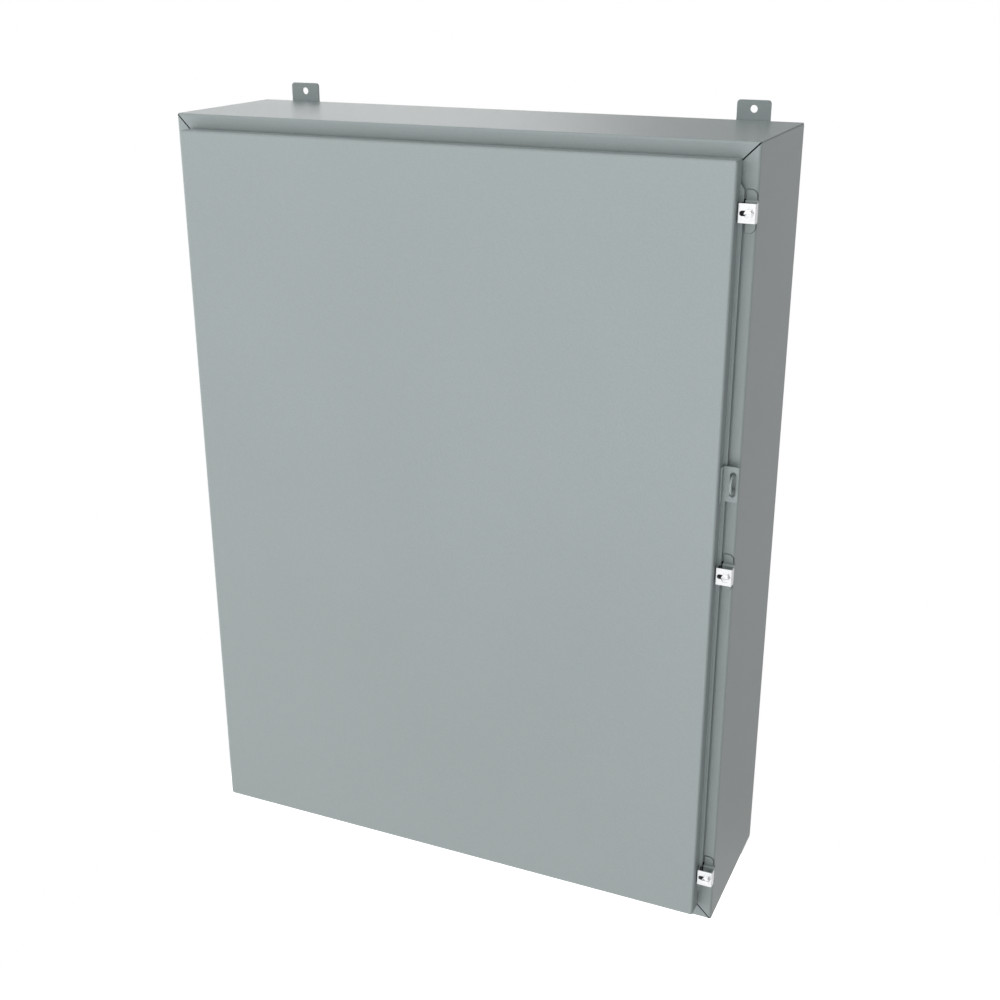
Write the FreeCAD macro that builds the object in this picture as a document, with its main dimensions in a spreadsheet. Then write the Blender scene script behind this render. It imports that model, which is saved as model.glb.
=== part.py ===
# Steel wall enclosure: a folded box with a hinged door, three screw clamps and a padlock hasp.
#
# Frame: X to the right, Y into the wall, Z up. The origin is the middle of the four mounting
# holes, on the wall that the feet lie against. The box stands in front of it, towards -Y.
# All lengths are in millimetres.
import FreeCAD
import Part
import math
import os
import re
import Sketcher

doc = FreeCAD.newDocument("WallEnclosure")
sheet = doc.addObject("Spreadsheet::Sheet", "Sizes")

SIZES = {
    # box
    "width": (914.4, "outside width of the box"),
    "height": (1219.2, "outside height of the box"),
    "depth": (254.0, "from the back sheet's outside to the front flange's face"),
    "wall": (1.9, "thickness of the sheet of box, door and inner panel"),
    "bend": (2.1, "inside radius of the folds"),
    "flange": (36.5, "from the box's outside to the edge of the opening"),
    "lip": (15.9, "how far the opening's lip stands ahead of the flange"),
    "mitre_gap": (1.6, "gap between two flanges at a corner"),
    "seam_step": (1.2, "how far the top and bottom sheets stay inside the box's outline"),
    # feet
    "foot_thick": (3.0, "thickness of a foot, and the gap between box and wall"),
    "foot_wide": (50.8, "width of a foot"),
    "foot_inset": (76.2, "from the box's side to the middle of a foot"),
    "foot_above": (29.0, "how far a foot stands past the box"),
    "foot_hole_above": (16.2, "from the box's outside to a foot's hole"),
    "foot_lap": (50.0, "how much of a foot lies on the back sheet"),
    "foot_hole_radius": (5.55, "radius of a foot's hole"),
    "foot_round": (5.0, "corner radius of a foot"),
    # door
    "side_margin": (23.0, "flange left showing beside the door"),
    "top_margin": (21.6, "flange left showing above and below the door"),
    "door_front": (30.0, "from the flange's face to the door's face"),
    "door_gap": (4.0, "gap between the flange and the door's returns"),
    "door_round": (3.5, "outside radius of the door's folds"),
    "door_lip_reach": (5.8, "how far the door's side lip stands out"),
    "door_lip_front": (8.0, "from the flange's face to the face of the door's side lip"),
    "door_lip_end": (31.0, "from the door's end to the root of its side lip"),
    "door_lip_taper": (9.0, "length of the sloped end of the side lip"),
    "gasket_wide": (16.0, "width of the door's seal"),
    "seal_gap": (0.3, "gap between the seal and the opening's lip"),
    "stiffener_wide": (38.0, "width of the door stiffener's crown"),
    "stiffener_foot": (16.0, "width of each foot of the door stiffener"),
    "stiffener_tall": (12.7, "how far the door stiffener stands off the door"),
    "stiffener_end": (60.0, "from the door's end to the stiffener's end"),
    # hinge
    "pin_radius": (2.4, "radius of the hinge pin"),
    "pin_clear": (0.05, "radial clearance round the hinge pin"),
    "leaf": (1.5, "thickness of the hinge's leaves"),
    "leaf_gap": (0.25, "gap between a knuckle and the door's side"),
    "hinge_ahead": (16.0, "from the flange's face to the hinge pin"),
    "hinge_end": (25.4, "least distance from the door's end to the hinge"),
    "knuckle": (112.0, "pitch of the hinge's knuckles"),
    "knuckle_gap": (0.4, "gap between two knuckles"),
    "notch_clear": (0.4, "gap between a knuckle and the other leaf's notch"),
    "body_leaf_wide": (10.0, "width of the hinge leaf's foot on the flange"),
    # clamps
    "clamp_inset": (68.0, "from the door's end to the upper and lower clamps"),
    "clamp_wide": (24.2, "width of a clamp"),
    "clamp_tall": (26.0, "height of a clamp"),
    "clamp_sheet": (2.0, "thickness of a clamp"),
    "clamp_stand": (20.0, "from the flange's face to the clamp's face"),
    "clamp_set": (1.4, "from the door's side to the clamp's left edge"),
    "clamp_play": (0.1, "gap under a clamp's legs and a screw's head"),
    "clamp_slot_wide": (7.1, "width of a clamp's slot"),
    "clamp_slot_long": (9.5, "travel that the clamp's slot allows"),
    "screw_place": (15.4, "from the clamp's left edge to its screw"),
    "screw_radius": (3.1, "radius of a clamp screw's shank"),
    "screw_clear": (0.08, "radial clearance of the screw in its nut"),
    "screw_short": (1.5, "gap between the screw's end and the flange"),
    "head_flats": (11.1, "across flats of the screw's head"),
    "head_tall": (4.6, "height of the screw's head"),
    "head_bevel": (0.5, "bevel of the screw's head"),
    "driver_wide": (1.3, "width of the screwdriver slot"),
    "driver_deep": (1.8, "depth of the screwdriver slot"),
    "base_sheet": (1.9, "thickness of a clamp's base bracket"),
    "base_bend": (2.5, "inside radius of the bracket's folds"),
    "base_tall": (56.8, "height of the base bracket over its feet"),
    "base_crown": (31.0, "height of the bracket's raised middle"),
    "base_clear": (2.0, "gap between the door's lip and the base bracket"),
    "base_margin": (1.2, "from the box's side to the bracket's feet"),
    "base_round": (8.0, "corner radius of the bracket's feet"),
    "weld_nut_flats": (11.1, "across flats of the nut welded behind the bracket's crown"),
    "weld_nut_tall": (4.5, "height of that nut"),
    # hasp and staple
    "hasp_rise": (139.7, "height of the hasp above the door's middle"),
    "hasp_tall": (52.8, "height of the hasp"),
    "hasp_wide": (24.4, "how far the hasp stands out from the door's side"),
    "hasp_sheet": (2.4, "thickness of the hasp"),
    "hasp_bend": (1.2, "inside radius of the hasp's fold"),
    "hasp_front": (12.0, "from the flange's face to the hasp's face"),
    "hasp_leg": (8.0, "how far the hasp's leg runs forward from its face"),
    "hasp_round": (3.0, "corner radius of the hasp"),
    "hasp_slot_wide": (8.8, "width of the hasp's slot"),
    "hasp_slot_tall": (37.3, "height of the hasp's slot"),
    "hasp_slot_place": (16.4, "from the door's side to the middle of the slot"),
    "staple_sheet": (2.7, "thickness of the staple"),
    "staple_bar": (4.8, "width of the staple's loop, from its outside to its eye"),
    "staple_tall": (28.8, "height of the staple"),
    "staple_round": (13.5, "outside radius of the staple's two bends"),
    "staple_out": (26.0, "how far the staple stands out of the flange"),
    # inner panel
    "panel_margin": (38.1, "from the box's outside to the panel's edge"),
    "panel_return": (12.7, "depth of the panel's folded edge"),
    "panel_notch": (9.5, "side of the square notch in the panel's corners"),
    "stud_inset": (19.05, "from the panel's edge to its studs"),
    "collar_radius": (8.0, "radius of a stud's collar"),
    "collar_long": (15.9, "length of a stud's collar"),
    "stud_radius": (4.76, "radius of a stud"),
    "stud_past": (19.0, "how far a stud stands past the panel's back"),
    "stud_clear": (0.4, "radial clearance of the panel and its nuts on the studs"),
    "nut_flats": (14.3, "across flats of the panel nuts"),
    "nut_tall": (8.3, "height of the panel nuts"),
    # earth studs
    "ground_radius": (3.175, "radius of an earth stud"),
    "ground_long": (25.4, "length of an earth stud"),
    "ground_inset": (127.2, "from the box's side to the box's earth stud"),
    "ground_front": (60.0, "from the back of the box to the box's earth stud"),
    "door_ground_inset": (59.2, "from the door's side to its earth stud"),
    "door_ground_rise": (88.0, "from the door's lower end up to its earth stud"),
    # data pocket
    "pocket_wide": (304.8, "width of the data pocket"),
    "pocket_tall": (254.0, "height of the data pocket"),
    "pocket_deep": (22.0, "depth of the data pocket"),
    "pocket_wall": (2.0, "wall of the data pocket"),
    "pocket_gap": (27.6, "from the door stiffener to the pocket"),
    "pocket_drop": (230.0, "from the middle of the door down to the pocket's middle"),
    "pocket_scoop": (45.0, "radius of the finger notch in the pocket"),
    "pocket_round": (4.0, "corner radius of the pocket"),
}

for row, (alias, (number, meaning)) in enumerate(SIZES.items(), start=1):
    sheet.set(f"A{row}", meaning)
    sheet.set(f"B{row}", str(number))
    sheet.setAlias(f"B{row}", alias)
doc.recompute()

# Places that several pieces share, as formulas on the sheet's values.
HALF_W = "width / 2"
HALF_H = "height / 2"
BACK = "(0 - foot_thick)"
FACE = "(0 - foot_thick - depth)"
OPEN_X = "(width / 2 - flange)"
OPEN_Z = "(height / 2 - flange)"
LIP_EDGE = f"({FACE} - lip)"
CORNER_Z = "(height / 2 - wall)"
DOOR_X = "(width / 2 - side_margin)"
DOOR_Z = "(height / 2 - top_margin)"
DOOR_FACE = f"({FACE} - door_front)"
DOOR_BACK = f"({FACE} - door_gap)"
DOOR_INSIDE = f"({DOOR_FACE} + wall)"
KNUCKLE_R = "(pin_radius + pin_clear + leaf)"
PIN_X = f"(0 - {DOOR_X} - {KNUCKLE_R} - leaf_gap)"
PIN_Y = f"({FACE} - hinge_ahead)"
KNUCKLES = f"(2 * floor(({DOOR_Z} - hinge_end) / knuckle))"
HINGE_Z = f"({KNUCKLES} * knuckle / 2)"
CLAMP_X = f"({DOOR_X} + clamp_set)"
SCREW_X = f"({CLAMP_X} + screw_place)"
CLAMP_FACE = f"({FACE} - clamp_stand)"
LIP_FACE = f"({FACE} - door_lip_front)"
HASP_FACE = f"({FACE} - hasp_front)"
STAPLE_X = f"({DOOR_X} + hasp_slot_place)"
PANEL_X = "(width / 2 - panel_margin)"
PANEL_Z = "(height / 2 - panel_margin)"
STUD_X = f"({PANEL_X} - stud_inset)"
STUD_Z = f"({PANEL_Z} - stud_inset)"
INSIDE_BACK = f"({BACK} - wall)"
PANEL_BACK = f"({INSIDE_BACK} - collar_long)"
PANEL_FACE = f"({PANEL_BACK} - wall)"
INSIDE_FLOOR = "(0 - height / 2 + wall)"


def cell(text):
    """The formula with each of the sheet's names written as Sizes.name."""
    return re.sub(r"[a-z_]+", lambda word: "Sizes." + word[0] if word[0] in SIZES else word[0], text)


def size(text):
    """The number that a formula gives now."""
    return float(sheet.evalExpression(cell(text)))


def bind(thing, name, text):
    """Tie one property of an object to the sheet."""
    thing.setExpression(name, cell(text))


def new_body(label):
    body = doc.addObject("PartDesign::Body", label)
    body.Label = label
    return body


def new_sketch(body, role, offset="0"):
    """A sketch on an origin plane of the body, moved along the plane's normal by a formula."""
    sketch = body.newObject("Sketcher::SketchObject", body.Name + "_sketch")
    plane = next(item for item in body.Origin.OriginFeatures if item.Role == role)
    sketch.AttachmentSupport = (plane, "")
    sketch.MapMode = "FlatFace"
    bind(sketch, "AttachmentOffset.Base.z", offset)
    return sketch


def plan(body, height="0"):
    """A sketch seen from above: across is X, up is Y, its normal is +Z."""
    return new_sketch(body, "XY_Plane", height)


def front(body, depth="0"):
    """A sketch seen from the front: across is X, up is Z, its normal is -Y."""
    return new_sketch(body, "XZ_Plane", f"0 - ({depth})")


def side(body, across="0"):
    """A sketch seen from the side: across is Y, up is Z, its normal is +X."""
    return new_sketch(body, "YZ_Plane", across)


def tie(sketch, kind, geometry, vertex, text):
    """Set one coordinate of a sketch point by a formula, measured from the sketch's origin."""
    index = sketch.addConstraint(Sketcher.Constraint(kind, -1, 1, geometry, vertex, size(text)))
    sketch.setExpression(f"Constraints[{index}]", cell(text))


def outline(sketch, corners):
    """A closed outline through corners that are pairs of formulas."""
    first = sketch.GeometryCount
    count = len(corners)
    points = [FreeCAD.Vector(size(x), size(y), 0) for x, y in corners]
    for i in range(count):
        sketch.addGeometry(Part.LineSegment(points[i], points[(i + 1) % count]), False)
    for i in range(count):
        following = first + (i + 1) % count
        sketch.addConstraint(Sketcher.Constraint("Coincident", first + i, 2, following, 1))
    for i, (x, y) in enumerate(corners):
        tie(sketch, "DistanceX", first + i, 1, x)
        tie(sketch, "DistanceY", first + i, 1, y)
    return sketch


def rectangle(sketch, x0, y0, x1, y1):
    return outline(sketch, [(x0, y0), (x1, y0), (x1, y1), (x0, y1)])


def circle(sketch, x, y, radius):
    centre = FreeCAD.Vector(size(x), size(y), 0)
    ring = sketch.addGeometry(Part.Circle(centre, FreeCAD.Vector(0, 0, 1), size(radius)), False)
    index = sketch.addConstraint(Sketcher.Constraint("Radius", ring, size(radius)))
    sketch.setExpression(f"Constraints[{index}]", cell(radius))
    tie(sketch, "DistanceX", ring, 3, x)
    tie(sketch, "DistanceY", ring, 3, y)
    return sketch


def slot(sketch, x0, y0, x1, y1, radius):
    """A slot with round ends whose centres are (x0, y0) and (x1, y1)."""
    ends = [FreeCAD.Vector(size(x0), size(y0), 0), FreeCAD.Vector(size(x1), size(y1), 0)]
    along = math.atan2(ends[1].y - ends[0].y, ends[1].x - ends[0].x)
    r = size(radius)
    arcs = []
    for centre, start in ((ends[0], along + math.pi / 2), (ends[1], along - math.pi / 2)):
        ring = Part.Circle(centre, FreeCAD.Vector(0, 0, 1), r)
        arcs.append(sketch.addGeometry(Part.ArcOfCircle(ring, start, start + math.pi), False))
    off = FreeCAD.Vector(-math.sin(along), math.cos(along), 0) * r
    low = sketch.addGeometry(Part.LineSegment(ends[0] - off, ends[1] - off), False)
    high = sketch.addGeometry(Part.LineSegment(ends[1] + off, ends[0] + off), False)
    chain = [arcs[0], low, arcs[1], high]
    for i in range(4):
        sketch.addConstraint(Sketcher.Constraint("Tangent", chain[i], 2, chain[(i + 1) % 4], 1))
    sketch.addConstraint(Sketcher.Constraint("Equal", arcs[0], arcs[1]))
    index = sketch.addConstraint(Sketcher.Constraint("Radius", arcs[0], r))
    sketch.setExpression(f"Constraints[{index}]", cell(radius))
    for arc, x, y in ((arcs[0], x0, y0), (arcs[1], x1, y1)):
        tie(sketch, "DistanceX", arc, 3, x)
        tie(sketch, "DistanceY", arc, 3, y)
    return sketch


def hexagon(sketch, x, y, flats):
    """A hexagon with two flats level, given across its flats."""
    reach = f"({flats}) / sqrt(3)"
    half = f"({flats}) / 2"
    steps = [(1, 0), (0.5, 1), (-0.5, 1), (-1, 0), (-0.5, -1), (0.5, -1)]
    return outline(sketch, [(f"{x} + {a} * {reach}", f"{y} + {b} * {half}") for a, b in steps])


def pad(body, sketch, length, centred=False, backwards=False):
    feature = body.newObject("PartDesign::Pad", body.Name + "_pad")
    feature.Profile = sketch
    bind(feature, "Length", length)
    feature.SideType = "Symmetric" if centred else "One side"
    feature.Reversed = backwards
    doc.recompute()
    return feature


def cut(body, sketch, depth, centred=False, backwards=False):
    """Remove a sketch's outline, away from the sketch's normal, and check that it cut."""
    before = body.Tip.Shape.Volume
    feature = body.newObject("PartDesign::Pocket", body.Name + "_cut")
    feature.Profile = sketch
    bind(feature, "Length", depth)
    feature.SideType = "Symmetric" if centred else "One side"
    feature.Reversed = backwards
    doc.recompute()
    if not body.Tip.Shape.Volume < before:
        raise ValueError(f"{body.Label}: a cut removed nothing")
    return feature


def dress(body, kind, names, setting, text):
    """Put a Fillet or Chamfer on the named edges or faces of the body so far."""
    base = body.Tip
    feature = body.newObject("PartDesign::" + kind, body.Name + "_" + kind)
    feature.Base = (base, names)
    bind(feature, setting, text)
    doc.recompute()
    return feature


def face_at(body, depth):
    """The name of the flat face that looks forwards or backwards at a depth, in a list."""
    level = size(depth)
    for number, face in enumerate(body.Tip.Shape.Faces, start=1):
        box = face.BoundBox
        if abs(box.YMin - level) < 1e-4 and abs(box.YMax - level) < 1e-4:
            return [f"Face{number}"]
    raise ValueError(f"{body.Label}: no face at Y {level}")


def straight_edges(body, axis, places):
    """Names of the straight edges along an axis that pass through places, which are pairs of
    formulas for the other two coordinates in X, Y, Z order."""
    others = [i for i in range(3) if i != "XYZ".index(axis)]
    wanted = [(size(a), size(b)) for a, b in places]
    found = []
    for number, edge in enumerate(body.Tip.Shape.Edges, start=1):
        ends = [vertex.Point for vertex in edge.Vertexes]
        if len(ends) != 2 or not isinstance(edge.Curve, (Part.Line, Part.LineSegment)):
            continue
        if (ends[0] - ends[1]).Length - abs(ends[0]["XYZ".index(axis)] - ends[1]["XYZ".index(axis)]) > 1e-6:
            continue
        here = (ends[0][others[0]], ends[0][others[1]])
        if any(math.dist(here, place) < 1e-4 for place in wanted):
            found.append(f"Edge{number}")
    return found


def round_off(body, axis, places, radius):
    """Fillet the straight edges along an axis at the given places."""
    names = straight_edges(body, axis, places)
    if len(names) < len(places):
        raise ValueError(f"{body.Label}: {len(names)} edges found for {len(places)} places")
    return dress(body, "Fillet", names, "Radius", radius)


def both_sides(places):
    """The places and their mirror images across the first coordinate."""
    return places + [(f"0 - ({a})", b) for a, b in places]


def copies(label, original, mirrors):
    """One node that holds a piece and its mirror images across the named planes."""
    normals = {"X": FreeCAD.Vector(1, 0, 0), "Z": FreeCAD.Vector(0, 0, 1)}
    members = [original]
    for axis in mirrors:
        for member in list(members):
            image = doc.addObject("Part::Mirroring", label + "_image")
            image.Source = member
            image.Normal = normals[axis]
            members.append(image)
    group = doc.addObject("Part::Compound", label)
    group.Label = label
    group.Links = members
    return group


# The box's sheet: left side, back and right side in one piece. Its front edges are folded in to
# make the side flanges, and again forwards to make the lip that seals on the door.
def make_body_shell():
    body = new_body("body_shell")
    half = [
        (HALF_W, BACK), (HALF_W, FACE), (f"{OPEN_X} + wall", FACE), (f"{OPEN_X} + wall", LIP_EDGE),
        (OPEN_X, LIP_EDGE), (OPEN_X, f"{FACE} + wall"), (f"{HALF_W} - wall", f"{FACE} + wall"),
        (f"{HALF_W} - wall", INSIDE_BACK),
    ]
    other = [(f"0 - ({x})", y) for x, y in reversed(half)]
    pad(body, outline(plan(body), half + other), "height - 2 * wall", centred=True)
    round_off(body, "Z", both_sides([(HALF_W, BACK), (HALF_W, FACE), (OPEN_X, f"{FACE} + wall")]),
              "bend + wall")
    round_off(body, "Z", both_sides([
        (f"{HALF_W} - wall", INSIDE_BACK), (f"{HALF_W} - wall", f"{FACE} + wall"),
        (f"{OPEN_X} + wall", FACE)]), "bend")
    # Each flange ends on a slope that runs from the box's corner to the opening's corner.
    drop = "(mitre_gap * sqrt(0.5))"
    mitres = front(body, f"{LIP_EDGE} - wall")
    for s in ("1", "-1"):
        for u in ("1", "-1"):
            outline(mitres, [
                (f"{s} * ({HALF_W} + wall)", f"{u} * ({HALF_H} + wall - {drop})"),
                (f"{s} * ({OPEN_X} - wall)", f"{u} * ({OPEN_Z} - wall - {drop})"),
                (f"{s} * ({OPEN_X} - wall)", f"{u} * ({HALF_H} + wall)"),
            ])
    cut(body, mitres, "lip + 3 * wall + bend")
    return body


# The top and bottom sheets: folded down in front to make a flange with a lip, and laid on the
# ends of the box's sheet, where a seam weld holds them.
def make_end_panel(label, up):
    body = new_body(label)
    rear = f"{BACK} - seam_step"
    profile = [
        (rear, HALF_H), (FACE, HALF_H), (FACE, f"{OPEN_Z} + wall"), (LIP_EDGE, f"{OPEN_Z} + wall"),
        (LIP_EDGE, OPEN_Z), (f"{FACE} + wall", OPEN_Z), (f"{FACE} + wall", CORNER_Z), (rear, CORNER_Z),
    ]
    pad(body, outline(side(body), [(y, f"{up} * ({z})") for y, z in profile]),
        "width - 2 * seam_step", centred=True)
    outer = [(FACE, HALF_H), (f"{FACE} + wall", OPEN_Z)]
    inner = [(f"{FACE} + wall", CORNER_Z), (FACE, f"{OPEN_Z} + wall")]
    round_off(body, "X", [(y, f"{up} * ({z})") for y, z in outer], "bend + wall")
    round_off(body, "X", [(y, f"{up} * ({z})") for y, z in inner], "bend")
    step = "(mitre_gap * sqrt(0.5))"
    mitres = front(body, f"{LIP_EDGE} - wall")
    for s in ("1", "-1"):
        outline(mitres, [
            (f"{s} * ({HALF_W} + wall - {step})", f"{up} * ({HALF_H} + wall)"),
            (f"{s} * ({OPEN_X} - wall - {step})", f"{up} * ({OPEN_Z} - wall)"),
            (f"{s} * ({HALF_W} + wall)", f"{up} * ({OPEN_Z} - wall)"),
        ])
    cut(body, mitres, "lip + 3 * wall + bend")
    return body


# A foot: a flat lug welded on the back of the box, with a hole for the wall screw.
def make_foot(label, across, up):
    body = new_body(label)
    middle = f"{across} * ({HALF_W} - foot_inset)"
    tip = f"{up} * ({HALF_H} + foot_above)"
    root = f"{up} * ({HALF_H} - foot_lap)"
    sides = [f"{middle} - foot_wide / 2", f"{middle} + foot_wide / 2"]
    pad(body, rectangle(front(body), sides[0], root, sides[1], tip), "foot_thick")
    cut(body, circle(front(body, BACK), middle, f"{up} * ({HALF_H} + foot_hole_above)",
                     "foot_hole_radius"), "foot_thick")
    round_off(body, "Y", [(x, tip) for x in sides], "foot_round")
    return body


def corners_of(half_x, half_z):
    """The four corners of an upright rectangle about the origin."""
    return [(f"{s} * {half_x}", f"{u} * {half_z}") for s in (1, -1) for u in (1, -1)]


def hollow(body, half_x, half_z, back, face, radius):
    """Turn a block into a tray of sheet that is open towards +Y, with its folds rounded inside."""
    in_x = f"({half_x} - wall)"
    in_z = f"({half_z} - wall)"
    floor = f"({face} + wall)"
    cut(body, rectangle(front(body, back), f"0 - {in_x}", f"0 - {in_z}", in_x, in_z),
        f"{back} - {floor}", backwards=True)
    dress(body, "Fillet", face_at(body, floor), "Radius", radius)


# The door: a pan with returns on four sides, its corners welded and ground round. On the clamp
# side the return is folded out again to make the lip that the clamps hold.
def make_door_pan():
    body = new_body("door_pan")
    pad(body, rectangle(front(body, DOOR_BACK), f"0 - {DOOR_X}", f"0 - {DOOR_Z}", DOOR_X, DOOR_Z),
        f"{DOOR_BACK} - {DOOR_FACE}")
    round_off(body, "Y", corners_of(DOOR_X, DOOR_Z), "door_round")
    dress(body, "Fillet", face_at(body, DOOR_FACE), "Radius", "door_round")
    hollow(body, DOOR_X, DOOR_Z, DOOR_BACK, DOOR_FACE, "door_round - wall")
    root = f"({DOOR_Z} - door_lip_end)"
    lip_back = f"({LIP_FACE} + wall)"
    cut(body, rectangle(front(body, lip_back), f"{DOOR_X} - 2 * wall", f"0 - {root}",
                        f"{DOOR_X} + wall", root), "door_lip_front - wall", backwards=False)
    tip = f"({root} - door_lip_taper)"
    pad(body, outline(front(body, lip_back), [
        (f"{DOOR_X} - wall", f"0 - {root}"), (DOOR_X, f"0 - {root}"),
        (f"{DOOR_X} + door_lip_reach", f"0 - {tip}"), (f"{DOOR_X} + door_lip_reach", tip),
        (DOOR_X, root), (f"{DOOR_X} - wall", root)]), "wall")
    round_off(body, "Z", [(DOOR_X, LIP_FACE)], "bend / 2")
    return body


# The seal: a closed frame of foam on the inside of the door, where the opening's lip meets it.
def make_gasket():
    body = new_body("door_gasket")
    middle_x = f"({OPEN_X} + wall / 2)"
    middle_z = f"({OPEN_Z} + wall / 2)"
    ring = front(body, DOOR_INSIDE)
    for way in ("+", "-"):
        x = f"({middle_x} {way} gasket_wide / 2)"
        z = f"({middle_z} {way} gasket_wide / 2)"
        rectangle(ring, f"0 - {x}", f"0 - {z}", x, z)
    pad(body, ring, "door_front - wall - lip - seal_gap", backwards=True)
    outer = corners_of(f"({middle_x} + gasket_wide / 2)", f"({middle_z} + gasket_wide / 2)")
    round_off(body, "Y", outer, "gasket_wide / 2")
    return body


# The door stiffener: a folded hat channel down the middle of the door's inside.
def make_stiffener():
    body = new_body("door_stiffener")
    crown = "(stiffener_wide / 2)"
    foot = f"({crown} + stiffener_foot)"
    top = f"({DOOR_INSIDE} + stiffener_tall)"
    half = [
        (foot, DOOR_INSIDE), (foot, f"{DOOR_INSIDE} + wall"), (crown, f"{DOOR_INSIDE} + wall"),
        (crown, top),
    ]
    inner = [(f"{crown} - wall", f"{top} - wall"), (f"{crown} - wall", DOOR_INSIDE)]
    mirrored = [(f"0 - ({x})", y) for x, y in reversed(half)]
    inner_mirrored = [(f"0 - ({x})", y) for x, y in inner]
    pad(body, outline(plan(body), half + mirrored + list(reversed(inner_mirrored)) + inner),
        f"2 * ({DOOR_Z} - stiffener_end)", centred=True)
    round_off(body, "Z", both_sides([(crown, top), (f"{crown} - wall", DOOR_INSIDE)]),
              "bend / 2 + wall / 2")
    return body


# The data pocket: a plastic tray stuck on the door's inside, open at its top.
def make_pocket():
    body = new_body("data_pocket")
    x0 = "(stiffener_wide / 2 + stiffener_foot + pocket_gap)"
    x1 = f"({x0} + pocket_wide)"
    z0 = "(0 - pocket_drop - pocket_tall / 2)"
    z1 = "(0 - pocket_drop + pocket_tall / 2)"
    rear = f"({DOOR_INSIDE} + pocket_deep)"
    pad(body, rectangle(front(body, rear), x0, z0, x1, z1), "pocket_deep")
    round_off(body, "Y", [(x0, z0), (x1, z0)], "pocket_round")
    cut(body, rectangle(plan(body, z1), f"{x0} + pocket_wall", f"{DOOR_INSIDE} + pocket_wall",
                        f"{x1} - pocket_wall", f"{rear} - pocket_wall"), "pocket_tall - pocket_wall")
    cut(body, circle(front(body, f"{rear} - 2 * pocket_wall"), f"{x0} + pocket_wide / 2", z1,
                     "pocket_scoop"),
        "3 * pocket_wall")
    return body


# The hinge: two leaves whose rolled knuckles take turns along one pin.
def make_hinge_leaf(label, on_door):
    body = new_body(label)
    pad(body, circle(plan(body), PIN_X, PIN_Y, KNUCKLE_R), f"2 * {HINGE_Z}", centred=True)
    if on_door:
        near, far = f"{PIN_X} + {KNUCKLE_R} - leaf", f"{PIN_X} + {KNUCKLE_R}"
        pad(body, rectangle(plan(body), near, PIN_Y, far, DOOR_BACK), f"2 * {HINGE_Z}", centred=True)
    else:
        near, far = f"{PIN_X} - {KNUCKLE_R} + leaf", f"{PIN_X} - {KNUCKLE_R}"
        edge = f"{far} - body_leaf_wide"
        pad(body, outline(plan(body), [
            (near, PIN_Y), (near, FACE), (edge, FACE), (edge, f"{FACE} - leaf"),
            (far, f"{FACE} - leaf"), (far, PIN_Y)]), f"2 * {HINGE_Z}", centred=True)
        round_off(body, "Z", [(far, f"{FACE} - leaf")], "leaf / 2")
        round_off(body, "Z", [(near, FACE)], "leaf")
    cut(body, circle(plan(body), PIN_X, PIN_Y, "pin_radius + pin_clear"), f"2 * {HINGE_Z}",
        centred=True)
    reach = f"({KNUCKLE_R} + notch_clear)"
    start = f"0 - {HINGE_Z}" if on_door else f"knuckle - {HINGE_Z}"
    notch = plan(body, f"{start} - knuckle_gap / 2")
    rectangle(notch, f"{PIN_X} - {reach}", f"{PIN_Y} - {reach}", f"{PIN_X} + {reach}", f"{PIN_Y} + {reach}")
    notches = cut(body, notch, "knuckle + knuckle_gap", backwards=True)
    pattern = body.newObject("PartDesign::LinearPattern", label + "_notches")
    pattern.Originals = [notches]
    pattern.Direction = (next(item for item in body.Origin.OriginFeatures if item.Role == "Z_Axis"), [""])
    pattern.Mode = "Spacing"
    bind(pattern, "Offset", "2 * knuckle")
    bind(pattern, "Occurrences", f"{KNUCKLES} / 2")
    body.Tip = pattern
    doc.recompute()
    return body


def make_hinge_pin():
    body = new_body("hinge_pin")
    pad(body, circle(plan(body), PIN_X, PIN_Y, "pin_radius"), f"2 * {HINGE_Z} + knuckle_gap", centred=True)
    return body


# A clamp's base: a hat bracket welded on the flange, with a nut welded inside for the clamp's screw.
def make_clamp_base(label, rise):
    body = new_body(label)
    bind(body, "Placement.Base.z", rise)
    left = f"({DOOR_X} + door_lip_reach + base_clear)"
    right = f"({CLAMP_X} + clamp_wide)"
    foot = "(base_tall / 2)"
    crown = "(base_crown / 2)"
    top = LIP_FACE
    half = [
        (FACE, foot), (f"{FACE} - base_sheet", foot), (f"{FACE} - base_sheet", crown), (top, crown),
    ]
    inner = [(f"{top} + base_sheet", f"{crown} - base_sheet"), (FACE, f"{crown} - base_sheet")]
    mirrored = [(y, f"0 - ({z})") for y, z in reversed(half)]
    inner_mirrored = [(y, f"0 - ({z})") for y, z in inner]
    pad(body, outline(side(body, left), half + mirrored + list(reversed(inner_mirrored)) + inner),
        f"{right} - {left}")
    round_off(body, "X", [(top, crown), (top, f"0 - {crown}")], "base_bend")
    trims = front(body, f"{FACE} - base_sheet")
    margin = f"({HALF_W} - base_margin)"
    for s in ("1", "-1"):
        rectangle(trims, margin, f"{s} * {crown}", f"{right} + base_sheet",
                  f"{s} * ({foot} + base_sheet)")
    cut(body, trims, "base_sheet")
    round_off(body, "Y", [(margin, foot), (margin, f"0 - {foot}")], "base_round")
    pad(body, hexagon(front(body, f"{top} + base_sheet"), SCREW_X, "0", "weld_nut_flats"),
        "weld_nut_tall", backwards=True)
    cut(body, circle(front(body, top), SCREW_X, "0", "screw_radius + screw_clear"), "door_lip_front")
    return body


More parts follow.
